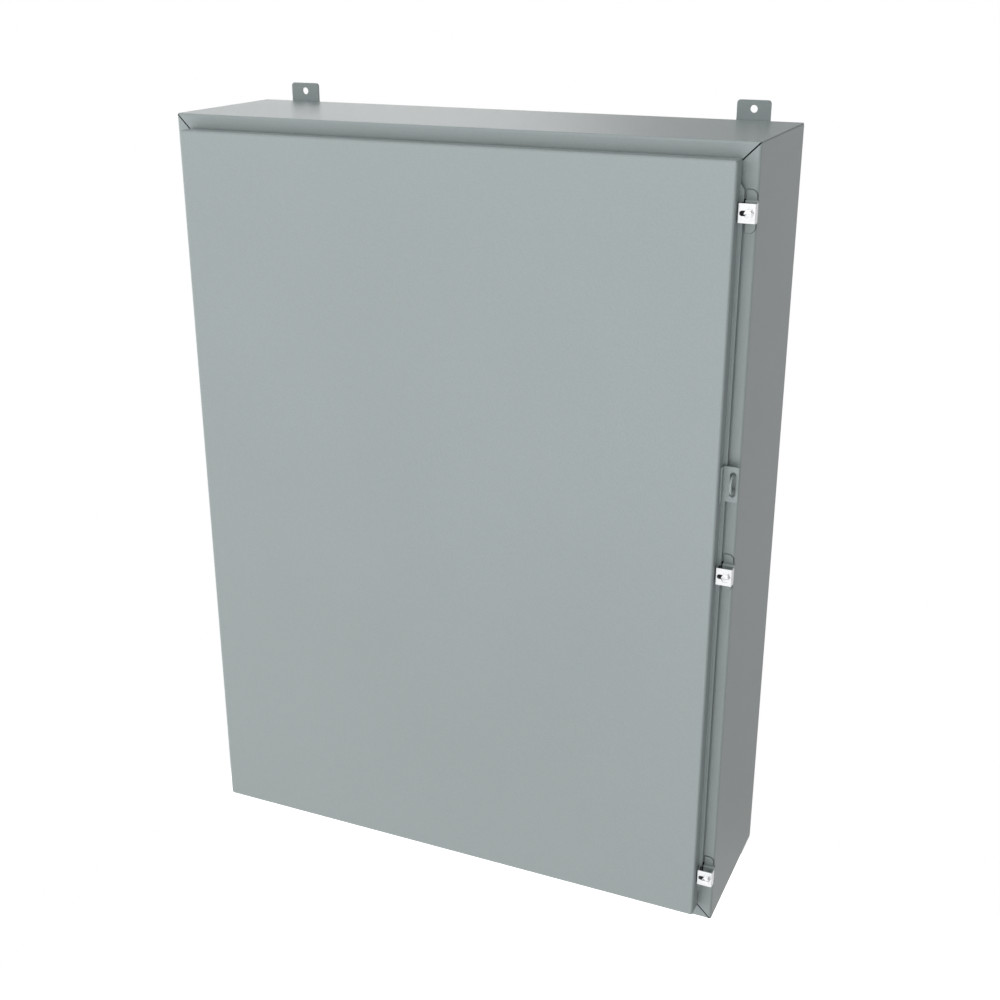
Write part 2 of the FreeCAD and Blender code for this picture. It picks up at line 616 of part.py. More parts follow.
# A clamp: a stainless plate with two legs. One leg holds the door's lip and the other stands on
# the base. The slot lets the loosened clamp slide away from the door.
def make_clamp_plate(label, rise):
    body = new_body(label)
    bind(body, "Placement.Base.z", rise)
    left, right = CLAMP_X, f"({CLAMP_X} + clamp_wide)"
    end = f"({LIP_FACE} - clamp_play)"
    under = f"({CLAMP_FACE} + clamp_sheet)"
    pad(body, outline(plan(body), [
        (left, end), (left, CLAMP_FACE), (right, CLAMP_FACE), (right, end),
        (f"{right} - clamp_sheet", end), (f"{right} - clamp_sheet", under),
        (f"{left} + clamp_sheet", under), (f"{left} + clamp_sheet", end)]), "clamp_tall", centred=True)
    round_off(body, "Z", [(left, CLAMP_FACE), (right, CLAMP_FACE)], "clamp_sheet / 2")
    cut(body, slot(front(body, CLAMP_FACE), f"{SCREW_X} - clamp_slot_long", "0", SCREW_X, "0",
                   "clamp_slot_wide / 2"), "clamp_sheet")
    return body


# A clamp's screw: a hexagon head with a slot for a screwdriver.
def make_clamp_screw(label, rise):
    body = new_body(label)
    bind(body, "Placement.Base.z", rise)
    seat = f"({CLAMP_FACE} - clamp_play)"
    top = f"({seat} - head_tall)"
    pad(body, hexagon(front(body, seat), SCREW_X, "0", "head_flats"), "head_tall")
    dress(body, "Chamfer", face_at(body, top), "Size", "head_bevel")
    pad(body, circle(front(body, seat), SCREW_X, "0", "screw_radius"),
        f"{FACE} - screw_short - {seat}", backwards=True)
    cut(body, rectangle(front(body, top), f"{SCREW_X} - head_flats", "0 - driver_wide / 2",
                        f"{SCREW_X} + head_flats", "driver_wide / 2"), "driver_deep")
    return body


# The hasp: an angle bracket on the door's side return, with a slot for the staple.
def make_hasp():
    body = new_body("padlock_hasp")
    inner, outer = DOOR_X, f"({DOOR_X} + hasp_wide)"
    leg_end = f"({HASP_FACE} - hasp_leg)"
    back = f"({HASP_FACE} + hasp_sheet)"
    bind(body, "Placement.Base.z", "hasp_rise")
    pad(body, outline(plan(body), [
        (inner, leg_end), (f"{inner} + hasp_sheet", leg_end), (f"{inner} + hasp_sheet", HASP_FACE),
        (outer, HASP_FACE), (outer, back), (inner, back)]), "hasp_tall", centred=True)
    round_off(body, "Z", [(f"{inner} + hasp_sheet", HASP_FACE)], "hasp_bend")
    round_off(body, "Y", [(outer, "hasp_tall / 2"), (outer, "0 - hasp_tall / 2")], "hasp_round")
    end = "((hasp_slot_tall - hasp_slot_wide) / 2)"
    cut(body, slot(front(body, HASP_FACE), STAPLE_X, f"0 - {end}", STAPLE_X, end,
                   "hasp_slot_wide / 2"), "hasp_sheet")
    return body


# The staple: a flat steel loop that stands on edge on the flange and takes the padlock's shackle.
def make_staple():
    body = new_body("padlock_staple")
    bind(body, "Placement.Base.z", "hasp_rise")
    crown = f"({FACE} - staple_out)"
    eye = f"({crown} + staple_bar)"
    half = "(staple_tall / 2)"
    inner = "(staple_tall / 2 - staple_bar)"
    pad(body, rectangle(side(body, STAPLE_X), crown, f"0 - {half}", FACE, half), "staple_sheet",
        centred=True)
    cut(body, rectangle(side(body, STAPLE_X), eye, f"0 - {inner}", FACE, inner), "staple_sheet",
        centred=True)
    round_off(body, "X", [(crown, half), (crown, f"0 - {half}")], "staple_round")
    round_off(body, "X", [(eye, inner), (eye, f"0 - {inner}")], "staple_round - staple_bar")
    return body


# The inner panel that the equipment is fastened to, with its edges folded back and its corners
# notched square.
def make_panel():
    body = new_body("mounting_panel")
    back = f"({PANEL_FACE} + panel_return)"
    pad(body, rectangle(front(body, back), f"0 - {PANEL_X}", f"0 - {PANEL_Z}", PANEL_X, PANEL_Z),
        "panel_return")
    dress(body, "Fillet", face_at(body, PANEL_FACE), "Radius", "bend + wall")
    hollow(body, PANEL_X, PANEL_Z, back, PANEL_FACE, "bend")
    openings = front(body, PANEL_FACE)
    for s in (1, -1):
        for u in (1, -1):
            rectangle(openings, f"{s} * ({PANEL_X} - panel_notch)", f"{u} * ({PANEL_Z} - panel_notch)",
                      f"{s} * ({PANEL_X} + wall)", f"{u} * ({PANEL_Z} + wall)")
            circle(openings, f"{s} * {STUD_X}", f"{u} * {STUD_Z}", "stud_radius + stud_clear")
    cut(body, openings, "panel_return")
    return body


# A collar stud: welded on the back sheet, its collar carries the panel and its thread the nut.
def make_panel_stud():
    body = new_body("panel_stud")
    pad(body, circle(front(body, INSIDE_BACK), STUD_X, STUD_Z, "collar_radius"), "collar_long")
    pad(body, circle(front(body, PANEL_BACK), STUD_X, STUD_Z, "stud_radius"), "stud_past")
    return copies("panel_studs", body, "XZ")


def make_panel_nut():
    body = new_body("panel_nut")
    ring = front(body, PANEL_FACE)
    hexagon(ring, STUD_X, STUD_Z, "nut_flats")
    circle(ring, STUD_X, STUD_Z, "stud_radius + stud_clear")
    pad(body, ring, "nut_tall")
    return copies("panel_nuts", body, "XZ")


# An earth stud: the box's one stands up from the floor, the door's one points back into the box.
def make_ground_stud(label, view, x, y, seat, backwards):
    body = new_body(label)
    pad(body, circle(view(body, seat), x, y, "ground_radius"), "ground_long", backwards=backwards)
    return body


pieces = [make_body_shell(), make_end_panel("top_panel", 1), make_end_panel("bottom_panel", -1)]
for level, up in (("upper", 1), ("lower", -1)):
    for hand, across in (("left", -1), ("right", 1)):
        pieces.append(make_foot(f"mounting_foot_{level}_{hand}", across, up))
pieces += [make_door_pan(), make_gasket(), make_stiffener(), make_pocket()]
pieces += [make_hinge_leaf("hinge_body_leaf", False), make_hinge_leaf("hinge_door_leaf", True),
           make_hinge_pin()]
for level, up in (("upper", 1), ("middle", 0), ("lower", -1)):
    rise = f"{up} * ({DOOR_Z} - clamp_inset)"
    pieces += [make_clamp_base(f"clamp_base_{level}", rise), make_clamp_plate(f"clamp_plate_{level}", rise),
               make_clamp_screw(f"clamp_screw_{level}", rise)]
pieces += [make_hasp(), make_staple(), make_panel()]
pieces += [make_panel_stud(), make_panel_nut()]
pieces.append(make_ground_stud("body_ground_stud", plan, f"(ground_inset - {HALF_W})",
                               f"{BACK} - ground_front", INSIDE_FLOOR, False))
pieces.append(make_ground_stud("door_ground_stud", front, f"(door_ground_inset - {DOOR_X})",
                               f"door_ground_rise - {DOOR_Z}", DOOR_INSIDE, True))
doc.recompute()

for item in doc.Objects:
    if {"Invalid", "Error"} & set(item.State):
        raise ValueError(f"{item.Label} failed: {item.State}")
for piece in pieces:
    if piece.Shape.isNull() or not piece.Shape.isValid():
        raise ValueError(f"{piece.Label} has no valid shape")

os.makedirs("parts", exist_ok=True)
for piece in pieces:
    piece.Shape.exportStep(f"parts/{piece.Label}.step")
    box = piece.Shape.BoundBox
    print(f"{piece.Label}: {len(piece.Shape.Solids)} solid,", f"X {box.XMin:.2f} {box.XMax:.2f},",
          f"Y {box.YMin:.2f} {box.YMax:.2f},", f"Z {box.ZMin:.2f} {box.ZMax:.2f}")
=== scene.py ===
# A steel wall enclosure with its door shut, hung by four feet and seen from above and to the right.
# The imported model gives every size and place. The sections below follow the order in which the
# real one is put together, and each makes or finishes one group of its pieces.
import math

import bmesh
import bpy
import numpy as np
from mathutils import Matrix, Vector


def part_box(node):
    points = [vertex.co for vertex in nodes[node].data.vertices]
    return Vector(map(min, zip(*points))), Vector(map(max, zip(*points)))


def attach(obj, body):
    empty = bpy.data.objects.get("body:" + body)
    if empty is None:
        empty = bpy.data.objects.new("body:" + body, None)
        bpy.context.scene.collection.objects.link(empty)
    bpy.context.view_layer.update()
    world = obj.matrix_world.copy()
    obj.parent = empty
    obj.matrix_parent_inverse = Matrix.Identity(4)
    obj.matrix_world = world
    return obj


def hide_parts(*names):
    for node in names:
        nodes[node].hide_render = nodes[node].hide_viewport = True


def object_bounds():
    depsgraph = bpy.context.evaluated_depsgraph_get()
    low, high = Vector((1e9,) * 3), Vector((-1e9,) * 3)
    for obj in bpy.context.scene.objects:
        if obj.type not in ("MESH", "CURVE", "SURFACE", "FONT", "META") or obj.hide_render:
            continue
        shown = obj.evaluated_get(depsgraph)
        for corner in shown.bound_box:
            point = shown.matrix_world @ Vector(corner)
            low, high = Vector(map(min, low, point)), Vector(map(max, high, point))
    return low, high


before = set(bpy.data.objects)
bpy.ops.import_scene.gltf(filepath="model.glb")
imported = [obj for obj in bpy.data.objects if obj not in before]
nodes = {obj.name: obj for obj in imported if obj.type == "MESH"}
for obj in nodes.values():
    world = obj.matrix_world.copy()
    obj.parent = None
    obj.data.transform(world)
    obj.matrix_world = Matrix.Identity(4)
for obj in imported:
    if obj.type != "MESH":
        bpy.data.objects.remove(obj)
cad_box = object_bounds()
MM = 0.001


# The place that the enclosure is shown in: a pale floor well below it, a soft white room, one small
# lamp above that draws a line of light along the folds, and one lamp behind. The camera stands
# where the photographer's did.
def aim(thing, place, target):
    """Put an object at a place, with its -Z axis towards a target and its +Y axis upwards."""
    thing.location = place
    thing.rotation_euler = (Vector(target) - Vector(place)).to_track_quat("-Z", "Y").to_euler()


class Signal:
    """A value that runs through a material. Sums of signals and numbers add Math nodes."""

    def __init__(self, tree, socket):
        self.tree = tree
        self.socket = socket

    def node(self, kind, settings, sockets, out=0):
        """Add a node of a kind: its settings first, then the values or signals of its sockets."""
        made = self.tree.nodes.new("ShaderNode" + kind)
        for name, value in settings.items():
            setattr(made, name, value)
        for name, value in sockets.items():
            if isinstance(value, Signal):
                self.tree.links.new(value.socket, made.inputs[name])
            else:
                made.inputs[name].default_value = value
        return Signal(self.tree, made.outputs[out])

    def math(self, operation, *values):
        """The result of a Math node for one or two values."""
        return self.node("Math", {"operation": operation}, dict(enumerate(values)))

    def __add__(self, other):
        return self.math("ADD", self, other)

    __radd__ = __add__

    def __sub__(self, other):
        return self.math("SUBTRACT", self, other)

    def __rsub__(self, other):
        return self.math("SUBTRACT", other, self)

    def __mul__(self, other):
        return self.math("MULTIPLY", self, other)

    __rmul__ = __mul__

    def part(self, axis):
        """What a vector has along the axis "X", "Y" or "Z"."""
        return self.node("SeparateXYZ", {}, {"Vector": self}, out=axis)

    def size(self):
        """The value without its sign."""
        return self.math("ABSOLUTE", self)

    def at_least(self, least):
        """The value, or the least where that is greater."""
        return self.math("MAXIMUM", self, least)

    def root(self):
        """The square root of the value."""
        return self.math("SQRT", self)

    def toward(self, direction):
        """How far a vector goes in a direction: the dot product of the two."""
        return self.node("VectorMath", {"operation": "DOT_PRODUCT"}, {0: self, 1: direction},
                         out="Value")

    def noise(self, size, detail=2.0):
        """Soft noise about 0.5 whose features are about as wide as the size, in metres."""
        return self.node("TexNoise", {}, {"Vector": self, "Scale": 1.0 / size, "Detail": detail})

    def between(self, low, high):
        """0 at the low value and beyond it, 1 at the high one and beyond it, and a straight line
        between them. The low value may be the greater one."""
        return self.node("MapRange", {}, {"Value": self, "From Min": low, "From Max": high})

    def blend(self, first, second):
        """The colour that is the first at 0 and the second at 1."""
        return self.node("Mix", {"data_type": "RGBA"}, {0: self, 6: first, 7: second}, out=2)

    def bump(self, height):
        """The normal of a surface whose height is this signal times a height in metres."""
        return self.node("Bump", {}, {"Height": self, "Strength": 1.0, "Distance": height})


def light_path(tree):
    """Three signals that are 1 for a ray of the camera, of a reflection and through clear stuff."""
    path = tree.nodes.new("ShaderNodeLightPath")
    kinds = ("Is Camera Ray", "Is Glossy Ray", "Is Transmission Ray")
    return [Signal(tree, path.outputs[kind]) for kind in kinds]


# The room's strength in a direction is its middle value plus its slope times the direction, and
# never less than its least. Its soft light comes mostly from in front, from the left and from low
# down. What a shiny surface sees of it is pale to the left of an upright plane, dimmer to the right
# of it and dimmest high up on the right.
ROOM_MIDDLE = 0.36
ROOM_SLOPE = (-0.90, -0.82, -0.93)
ROOM_LEAST = 0.25
SHEEN_MIDDLE = 1.44
SHEEN_SLOPE = (0.40, 0.10, 0.30)
SHEEN_PLANE = (1.0, 0.37, 0.0)
SHEEN_FADE = 0.045
RIGHT_SHARE = 0.43
RIGHT_SHARE_HIGH = 0.12
RIGHT_LOW_AT = 0.15
RIGHT_HIGH_AT = 0.45
ROOM_WHITE = (1.0, 1.0, 1.0, 1.0)
scene = bpy.context.scene
scene.view_settings.view_transform = "Standard"
room = bpy.data.worlds.new("white_room")
scene.world = room
room.use_nodes = True
tree = room.node_tree
way = Signal(tree, tree.nodes.new("ShaderNodeTexCoord").outputs["Generated"])
seen, mirrored, through = light_path(tree)
soft = (way.toward(ROOM_SLOPE) + ROOM_MIDDLE).at_least(ROOM_LEAST)
sheen = (way.toward(SHEEN_SLOPE) + SHEEN_MIDDLE).at_least(ROOM_LEAST)
to_right = way.toward(SHEEN_PLANE).between(-SHEEN_FADE, SHEEN_FADE)
low_down = way.part("Z").between(RIGHT_HIGH_AT, RIGHT_LOW_AT)
share = low_down * (RIGHT_SHARE - RIGHT_SHARE_HIGH) + RIGHT_SHARE_HIGH
sheen = sheen * (1.0 - (1.0 - share) * to_right)
level = soft + (sheen - soft) * mirrored
level = level + (1.0 - level) * (seen + through)
tree.links.new(level.socket, tree.nodes["Background"].inputs["Strength"])
tree.nodes["Background"].inputs["Color"].default_value = ROOM_WHITE

# The floor is seen as pure white. In reflections it glows fully in front of the enclosure and less
# behind it, and it sends out no soft light of its own.
FLOOR_DROP = 1.3
FLOOR_HALF = 1.8
FLOOR_GREY = (0.80, 0.80, 0.80, 1.0)
FLOOR_ROUGH = 0.9
FLOOR_GLOW = 0.6
FLOOR_LEAST = 0.40
FLOOR_BRIGHT_AT = -0.6
FLOOR_DIM_AT = 0.3
floor_z = cad_box[0][2] - FLOOR_DROP
floor_mesh = bpy.data.meshes.new("floor")
floor_mesh.from_pydata([(-FLOOR_HALF, -FLOOR_HALF, floor_z), (FLOOR_HALF, -FLOOR_HALF, floor_z),
                        (FLOOR_HALF, FLOOR_HALF, floor_z), (-FLOOR_HALF, FLOOR_HALF, floor_z)],
                       [], [(0, 1, 2, 3)])
floor = bpy.data.objects.new("floor", floor_mesh)
scene.collection.objects.link(floor)
pale = bpy.data.materials.new("pale_floor")
pale.use_nodes = True
tree = pale.node_tree
matt = tree.nodes["Principled BSDF"]
matt.inputs["Base Color"].default_value = FLOOR_GREY
matt.inputs["Roughness"].default_value = FLOOR_ROUGH
matt.inputs["Emission Strength"].default_value = 1.0
seen, mirrored, through = light_path(tree)
place = Signal(tree, tree.nodes.new("ShaderNodeTexCoord").outputs["Object"])
in_front = place.part("Y").between(FLOOR_DIM_AT, FLOOR_BRIGHT_AT)
glow = seen + through + (in_front * FLOOR_GLOW + FLOOR_LEAST) * mirrored
tree.links.new(glow.socket, matt.inputs["Emission Color"])
floor_mesh.materials.append(pale)

# Each lamp has its place, the point it shines at, its width in metres and its power in watts.
LAMPS = {
    "top_lamp": ((0.2, -1.3, 3.3), (0.0, -0.1, 0.3), 0.4, 12.0),
    "back_lamp": ((-0.9, 3.6, -0.35), (0.0, 0.0, 0.0), 1.6, 40.0),
}
for name, (place, target, width, power) in LAMPS.items():
    lamp = bpy.data.lights.new(name, "AREA")
    lamp.shape = "SQUARE"
    lamp.size = width
    lamp.energy = power
    holder = bpy.data.objects.new(name, lamp)
    scene.collection.objects.link(holder)
    aim(holder, place, target)

CAMERA_PLACE = (0.89212, -2.07573, 0.82526)
CAMERA_TURN = math.radians(23.8748)
CAMERA_TILT = math.radians(21.1457)
LENS_MM = 50.0
SENSOR_MM = 36.0
lens = bpy.data.cameras.new("camera")
lens.lens = LENS_MM
lens.sensor_width = SENSOR_MM
camera = bpy.data.objects.new("camera", lens)
scene.collection.objects.link(camera)
looking = (-math.sin(CAMERA_TURN) * math.cos(CAMERA_TILT),
           math.cos(CAMERA_TURN) * math.cos(CAMERA_TILT),
           -math.sin(CAMERA_TILT))
aim(camera, CAMERA_PLACE, tuple(a + b for a, b in zip(CAMERA_PLACE, looking)))
scene.camera = camera


# The box: the shell, the top and the bottom, folded from steel sheet and welded, under one coat of
# light grey powder paint, which dries to a fine orange peel with a satin shine. Painted shade, near
# black, darkens the mitre gaps and the seams round the clamps' bases.
def finish(name, **plain):
    """A new material: its plain sockets set, with its shader and the object's coordinates."""
    made = bpy.data.materials.new(name)
    made.use_nodes = True
    tree = made.node_tree
    shader = tree.nodes["Principled BSDF"]
    for socket, value in plain.items():
        shader.inputs[socket.replace("_", " ")].default_value = value
    spot = tree.nodes.new("ShaderNodeTexCoord")
    return made, shader, Signal(tree, spot.outputs["Object"])


def wire(shader, **signals):
    """Link signals to the shader's sockets of the same names."""
    for socket, signal in signals.items():
        signal.tree.links.new(signal.socket, shader.inputs[socket.replace("_", " ")])


# Noise keeps mostly between NOISE_LOW and NOISE_HIGH, so that range is stretched to the whole one.
# The tone shares go to the drift, the peel and the grain, and the rise shares to the last two.
NOISE_LOW, NOISE_HIGH = 0.3, 0.7
DRIFT_WIDE = 350.0 * MM
PEEL_WIDE = 3.2 * MM
GRAIN_WIDE = 1.2 * MM
TONE_SHARES = (0.3, 0.35, 0.35)
RISE_SHARES = (0.6, 0.4)
PAINT_RISE = 0.7 * MM
ROUGH_SWING = 0.2


def powder_coat(name, dark, light, rough, painted_shade=None, shade_colour=None):
    """Powder paint: a slow drift between two tones, an orange peel and a finer grain. Where the
    given mask function returns 1, the colour turns to the dark colour given with it, which is
    painted shade."""
    made, shader, spot = finish(name, IOR=1.5)
    drift = spot.noise(DRIFT_WIDE, detail=3.0)
    peel = spot.noise(PEEL_WIDE)
    grain = spot.noise(GRAIN_WIDE)
    tone = sum(noise.between(NOISE_LOW, NOISE_HIGH) * share
               for noise, share in zip((drift, peel, grain), TONE_SHARES))
    rise = peel * RISE_SHARES[0] + grain * RISE_SHARES[1]
    colour = tone.blend(dark, light)
    if painted_shade:
        colour = painted_shade(spot).blend(colour, shade_colour)
    wire(shader, Base_Color=colour, Roughness=rough + ROUGH_SWING * (peel - 0.5),
         Normal=rise.bump(PAINT_RISE))
    return made


def paint(material, names):
    """Give a finish to CAD nodes."""
    for name in names:
        mesh = nodes[name].data
        mesh.materials.clear()
        mesh.materials.append(material)


GREY_DARK = (0.345, 0.395, 0.395, 1.0)
GREY_LIGHT = (0.385, 0.440, 0.440, 1.0)
GREY_ROUGH = 0.33
# Near black: painted shade for the mitre gaps and the seams round the clamps' bases.
SHADE_BLACK = (0.012, 0.012, 0.013, 1.0)
EDGE_FADE = 0.1 * MM
MITRE_HALF = 0.95 * MM
MITRE_FADE = 0.05 * MM


def mitre_gap_shade(spot):
    """1 within a small distance of the diagonal between two flanges at a corner of the opening,
    where
    painted shade darkens the mitre gap: the distance is |x| - |z| less its value at the corner,
    over the root of two."""
    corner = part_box("body_shell")[1][0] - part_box("top_panel")[1][2]
    across = spot.part("X").size() - spot.part("Z").size() - corner
    return across.size().between((MITRE_HALF + MITRE_FADE) * math.sqrt(2.0),
                                 MITRE_HALF * math.sqrt(2.0))


# The margin to the box's side and the corners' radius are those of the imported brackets.
CLAMPS = ("upper", "middle", "lower")
BASE_MARGIN = 1.2 * MM
BASE_ROUND = 8.0 * MM
SEAM_DARK = 0.2 * MM
SEAM_END = 1.1 * MM
HOLLOW_BEHIND = 4.0 * MM
HOLLOW_HALF = 16.0 * MM


def base_seam_shade(spot):
    """1 on the flange under each clamp's base, fading out in a fine line around its feet, and a
    little to the left of its hollow middle: there painted shade stands for the shade in the seam
    and beside the hollow. The distance from the base's outline, whose right corners are round, is
    the length of what x and |z - middle| have beyond the corners' centres, less the radius."""
    x = spot.part("X")
    right = (x - (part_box("body_shell")[1][0] - BASE_MARGIN - BASE_ROUND)).at_least(0.0)
    seam_shades = 0.0
    for row in CLAMPS:
        low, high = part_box("clamp_base_" + row)
        height = (spot.part("Z") - (low[2] + high[2]) / 2.0).size()
        over = (height - ((high[2] - low[2]) / 2.0 - BASE_ROUND)).at_least(0.0)
        reach = (right * right + over * over).root() - BASE_ROUND
        behind = height.between(HOLLOW_HALF + EDGE_FADE, HOLLOW_HALF) * HOLLOW_BEHIND
        left = (x + behind).between(low[0] - SEAM_END, low[0] - SEAM_DARK)
        seam_shades = reach.between(SEAM_END, SEAM_DARK) * left + seam_shades
    return seam_shades


FLANGE_DEEP = 3.0 * MM


def box_shade_mask(spot):
    """1 in the mitre gaps and in the seams of the clamps' bases, ahead of a plane that is a small
    depth into the box from the flanges' faces: where the box's paint turns to painted shade."""
    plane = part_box("hinge_body_leaf")[1][1] + FLANGE_DEEP
    return (mitre_gap_shade(spot) + base_seam_shade(spot)) * spot.part("Y").between(plane + EDGE_FADE, plane)


# The box's paint, with painted shade in its mitre gaps and in the seams round the clamps' bases.
box_paint = powder_coat("box_paint", GREY_DARK, GREY_LIGHT, GREY_ROUGH, box_shade_mask, SHADE_BLACK)
paint(box_paint, ["body_shell", "top_panel", "bottom_panel"])


# The door: one folded pan under the same paint. The clamps press on the lip at its right side,
# and behind each clamp the lip is painted near black, as painted shade for the clamp's hollow. The
# lip's face is LIP_DEPTH behind the door's, and it is flat from LIP_FLAT to the right of the door's
# side, where the hasp begins.
LIP_SHADE_DARK = (0.05, 0.05, 0.052, 1.0)
LIP_FLAT = 1.8 * MM
LIP_DEPTH = 22.0 * MM
LIP_SKIN = 0.8 * MM
SHADE_FADE = 1.0 * MM
SHADE_FADE_SIDE = 0.2 * MM


def clamp_hollow_shade(spot):
    """1 on the front of the door's lip behind each clamp, where painted shade goes: between the
    clamp's upper and lower edge, and on the lip's flat part."""
    lip_shade = 0.0
    for row in CLAMPS:
        low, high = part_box("clamp_plate_" + row)
        half = (high[2] - low[2]) / 2.0
        height = (spot.part("Z") - (low[2] + high[2]) / 2.0).size()
        lip_shade = height.between(half, half - SHADE_FADE) + lip_shade
    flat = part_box("padlock_hasp")[0][0] + LIP_FLAT
    from_front = (spot.part("Y") - (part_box("door_pan")[0][1] + LIP_DEPTH)).size()
    return (lip_shade * spot.part("X").between(flat, flat + SHADE_FADE_SIDE)
            * from_front.between(LIP_SKIN + SHADE_FADE_SIDE, LIP_SKIN))


# The door's paint, with painted shade on the lip behind each clamp.
door_paint = powder_coat("door_paint", GREY_DARK, GREY_LIGHT, GREY_ROUGH, clamp_hollow_shade, LIP_SHADE_DARK)
paint(door_paint, ["door_pan"])


# The pieces that are welded to the box and the door and painted with them, and the inner panel,
# whose white coat has the same orange peel.
FEET = ("mounting_foot_upper_left", "mounting_foot_upper_right", "mounting_foot_lower_left",
        "mounting_foot_lower_right")
BASES = tuple("clamp_base_" + row for row in CLAMPS)
WHITE_DARK = (0.74, 0.74, 0.72, 1.0)
WHITE_LIGHT = (0.78, 0.78, 0.76, 1.0)
WHITE_ROUGH = 0.36
grey_paint = powder_coat("grey_paint", GREY_DARK, GREY_LIGHT, GREY_ROUGH)
paint(grey_paint, [*FEET, *BASES, "door_stiffener", "hinge_body_leaf", "hinge_door_leaf",
                   "padlock_hasp", "padlock_staple"])
white_paint = powder_coat("white_paint", WHITE_DARK, WHITE_LIGHT, WHITE_ROUGH)
paint(white_paint, ["mounting_panel"])


# The small welded parts that stand on the box and the door: feet, clamp bases, staple and hasp.
# They are cut from plate, so their edges are rounded only by tumbling and paint.
FLAT_ANGLE = math.radians(1.0)
SHARP_ANGLE = math.radians(25.0)
BEVEL_ANGLE = math.radians(40.0)
MERGE = 0.001 * MM


def eased(name, body, width, cut=None):
    """A copy of a CAD node whose sharp edges are rounded by a bevel of a width, in its place. The
    function cut, if there is one, works on the form before that."""
    mesh = nodes[name].data.copy()
    piece = bpy.data.objects.new(name + "_eased", mesh)
    scene.collection.objects.link(piece)
    form = bmesh.new()
    form.from_mesh(mesh)
    bmesh.ops.remove_doubles(form, verts=form.verts, dist=MERGE)
    bmesh.ops.dissolve_limit(form, angle_limit=FLAT_ANGLE, verts=form.verts, edges=form.edges)
    if cut:
        cut(form)
    form.to_mesh(mesh)
    form.free()
    mesh.polygons.foreach_set("use_smooth", np.ones(len(mesh.polygons), dtype=bool))
    mesh.set_sharp_from_angle(angle=SHARP_ANGLE)
    bevel = piece.modifiers.new("ease", "BEVEL")
    bevel.width = width
    bevel.segments = 2
    bevel.limit_method = "ANGLE"
    bevel.angle_limit = BEVEL_ANGLE
    bevel.harden_normals = True
    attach(piece, body)
    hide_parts(name)


PLATE_EASE = 0.35 * MM
for name in (*FEET, *BASES, "padlock_staple"):
    eased(name, "enclosure", PLATE_EASE)
eased("padlock_hasp", "door", PLATE_EASE)


# The weld beads that hold each foot to the box's back: one down each side of it, laid by hand in
# short overlapping ripples and painted over with the box.
def grid_faces(rows, columns, around=False, closed=False):
    """The faces of a grid of points: row i and column j make point i * columns + j. The columns
    go around where the form is a tube, and the rows close on the first where it is a ring."""
    i, j = np.meshgrid(np.arange(rows if closed else rows - 1),
                       np.arange(columns if around else columns - 1), indexing="ij")
    after_i, after_j = (i + 1) % rows, (j + 1) % columns
    corners = [i * columns + j, i * columns + after_j, after_i * columns + after_j,
               after_i * columns + j]
    return np.stack([corner.ravel() for corner in corners], axis=1)


TINY_EDGE = 0.0005 * MM
CREASE_ANGLE = math.radians(32.0)


def make(name, parts, material, body):
    """One piece out of several sets of points and faces: their doubles are merged, their faces
    turned outwards and their curved faces shaded smooth."""
    points = np.concatenate([part[0] for part in parts])
    firsts = np.cumsum([0] + [len(part[0]) for part in parts[:-1]])
    faces = np.concatenate([part[1] + first for part, first in zip(parts, firsts)])
    mesh = bpy.data.meshes.new(name)
    mesh.from_pydata(points.tolist(), [], faces.tolist())
    form = bmesh.new()
    form.from_mesh(mesh)
    bmesh.ops.remove_doubles(form, verts=form.verts, dist=MERGE)
    bmesh.ops.dissolve_degenerate(form, dist=TINY_EDGE, edges=form.edges)
    bmesh.ops.recalc_face_normals(form, faces=form.faces)
    form.to_mesh(mesh)
    form.free()
    mesh.polygons.foreach_set("use_smooth", np.ones(len(mesh.polygons), dtype=bool))
    mesh.set_sharp_from_angle(angle=CREASE_ANGLE)
    mesh.materials.append(material)
    piece = bpy.data.objects.new(name, mesh)
    scene.collection.objects.link(piece)
    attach(piece, body)
    return piece


BEAD_LEG = 2.4 * MM
BEAD_START = 2.0 * MM
BEAD_END = 8.0 * MM
BEAD_SWELL = 0.1
BEAD_COLUMNS = 7
RIPPLE = 2.2 * MM
RIPPLE_ROWS = 4
LEAST_RIPPLES = 4


def bead(start, end, side, leg):
    """Points and faces of a fillet bead between two points. Across it, the bead is a quarter of a
    circle of radius leg, in the corner of the directions side and +Y. Along it, the radius swells
    and shrinks by a tenth with each ripple, and draws in to a point at both ends."""
    start, end, side = (np.array(v, dtype=float) for v in (start, end, side))
    length = np.linalg.norm(end - start)
    along = np.linspace(0.0, 1.0, RIPPLE_ROWS * max(int(length / RIPPLE), LEAST_RIPPLES) + 1)
    swell = 1.0 + BEAD_SWELL * np.sin(2.0 * math.pi * along * length / RIPPLE)
    short = np.clip(1.0 - np.minimum(along, 1.0 - along) * length / leg, 0.0, 1.0)
    radius = leg * swell * np.sqrt(1.0 - short ** 2)
    turn = np.linspace(0.0, math.pi / 2.0, BEAD_COLUMNS)
    out = np.concatenate([np.cos(turn), [0.0]])
    up = np.concatenate([np.sin(turn), [0.0]])
    rim = out[:, None] * side + up[:, None] * np.array((0.0, 1.0, 0.0))
    points = start + along[:, None, None] * (end - start) + radius[:, None, None] * rim
    return points.reshape(-1, 3), grid_faces(len(along), len(out), around=True)


shell_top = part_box("body_shell")[1][2]
beads = []
for name in FEET:
    low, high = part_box(name)
    above = math.copysign(1.0, low[2])
    first = (low if above > 0.0 else high)[2] + above * BEAD_START
    last = above * (shell_top - BEAD_END)
    for x, out in ((low[0], -1.0), (high[0], 1.0)):
        beads.append(bead((x, low[1], first), (x, low[1], last), (out, 0.0, 0.0), BEAD_LEG))
make("foot_weld_beads", beads, grey_paint, "enclosure")


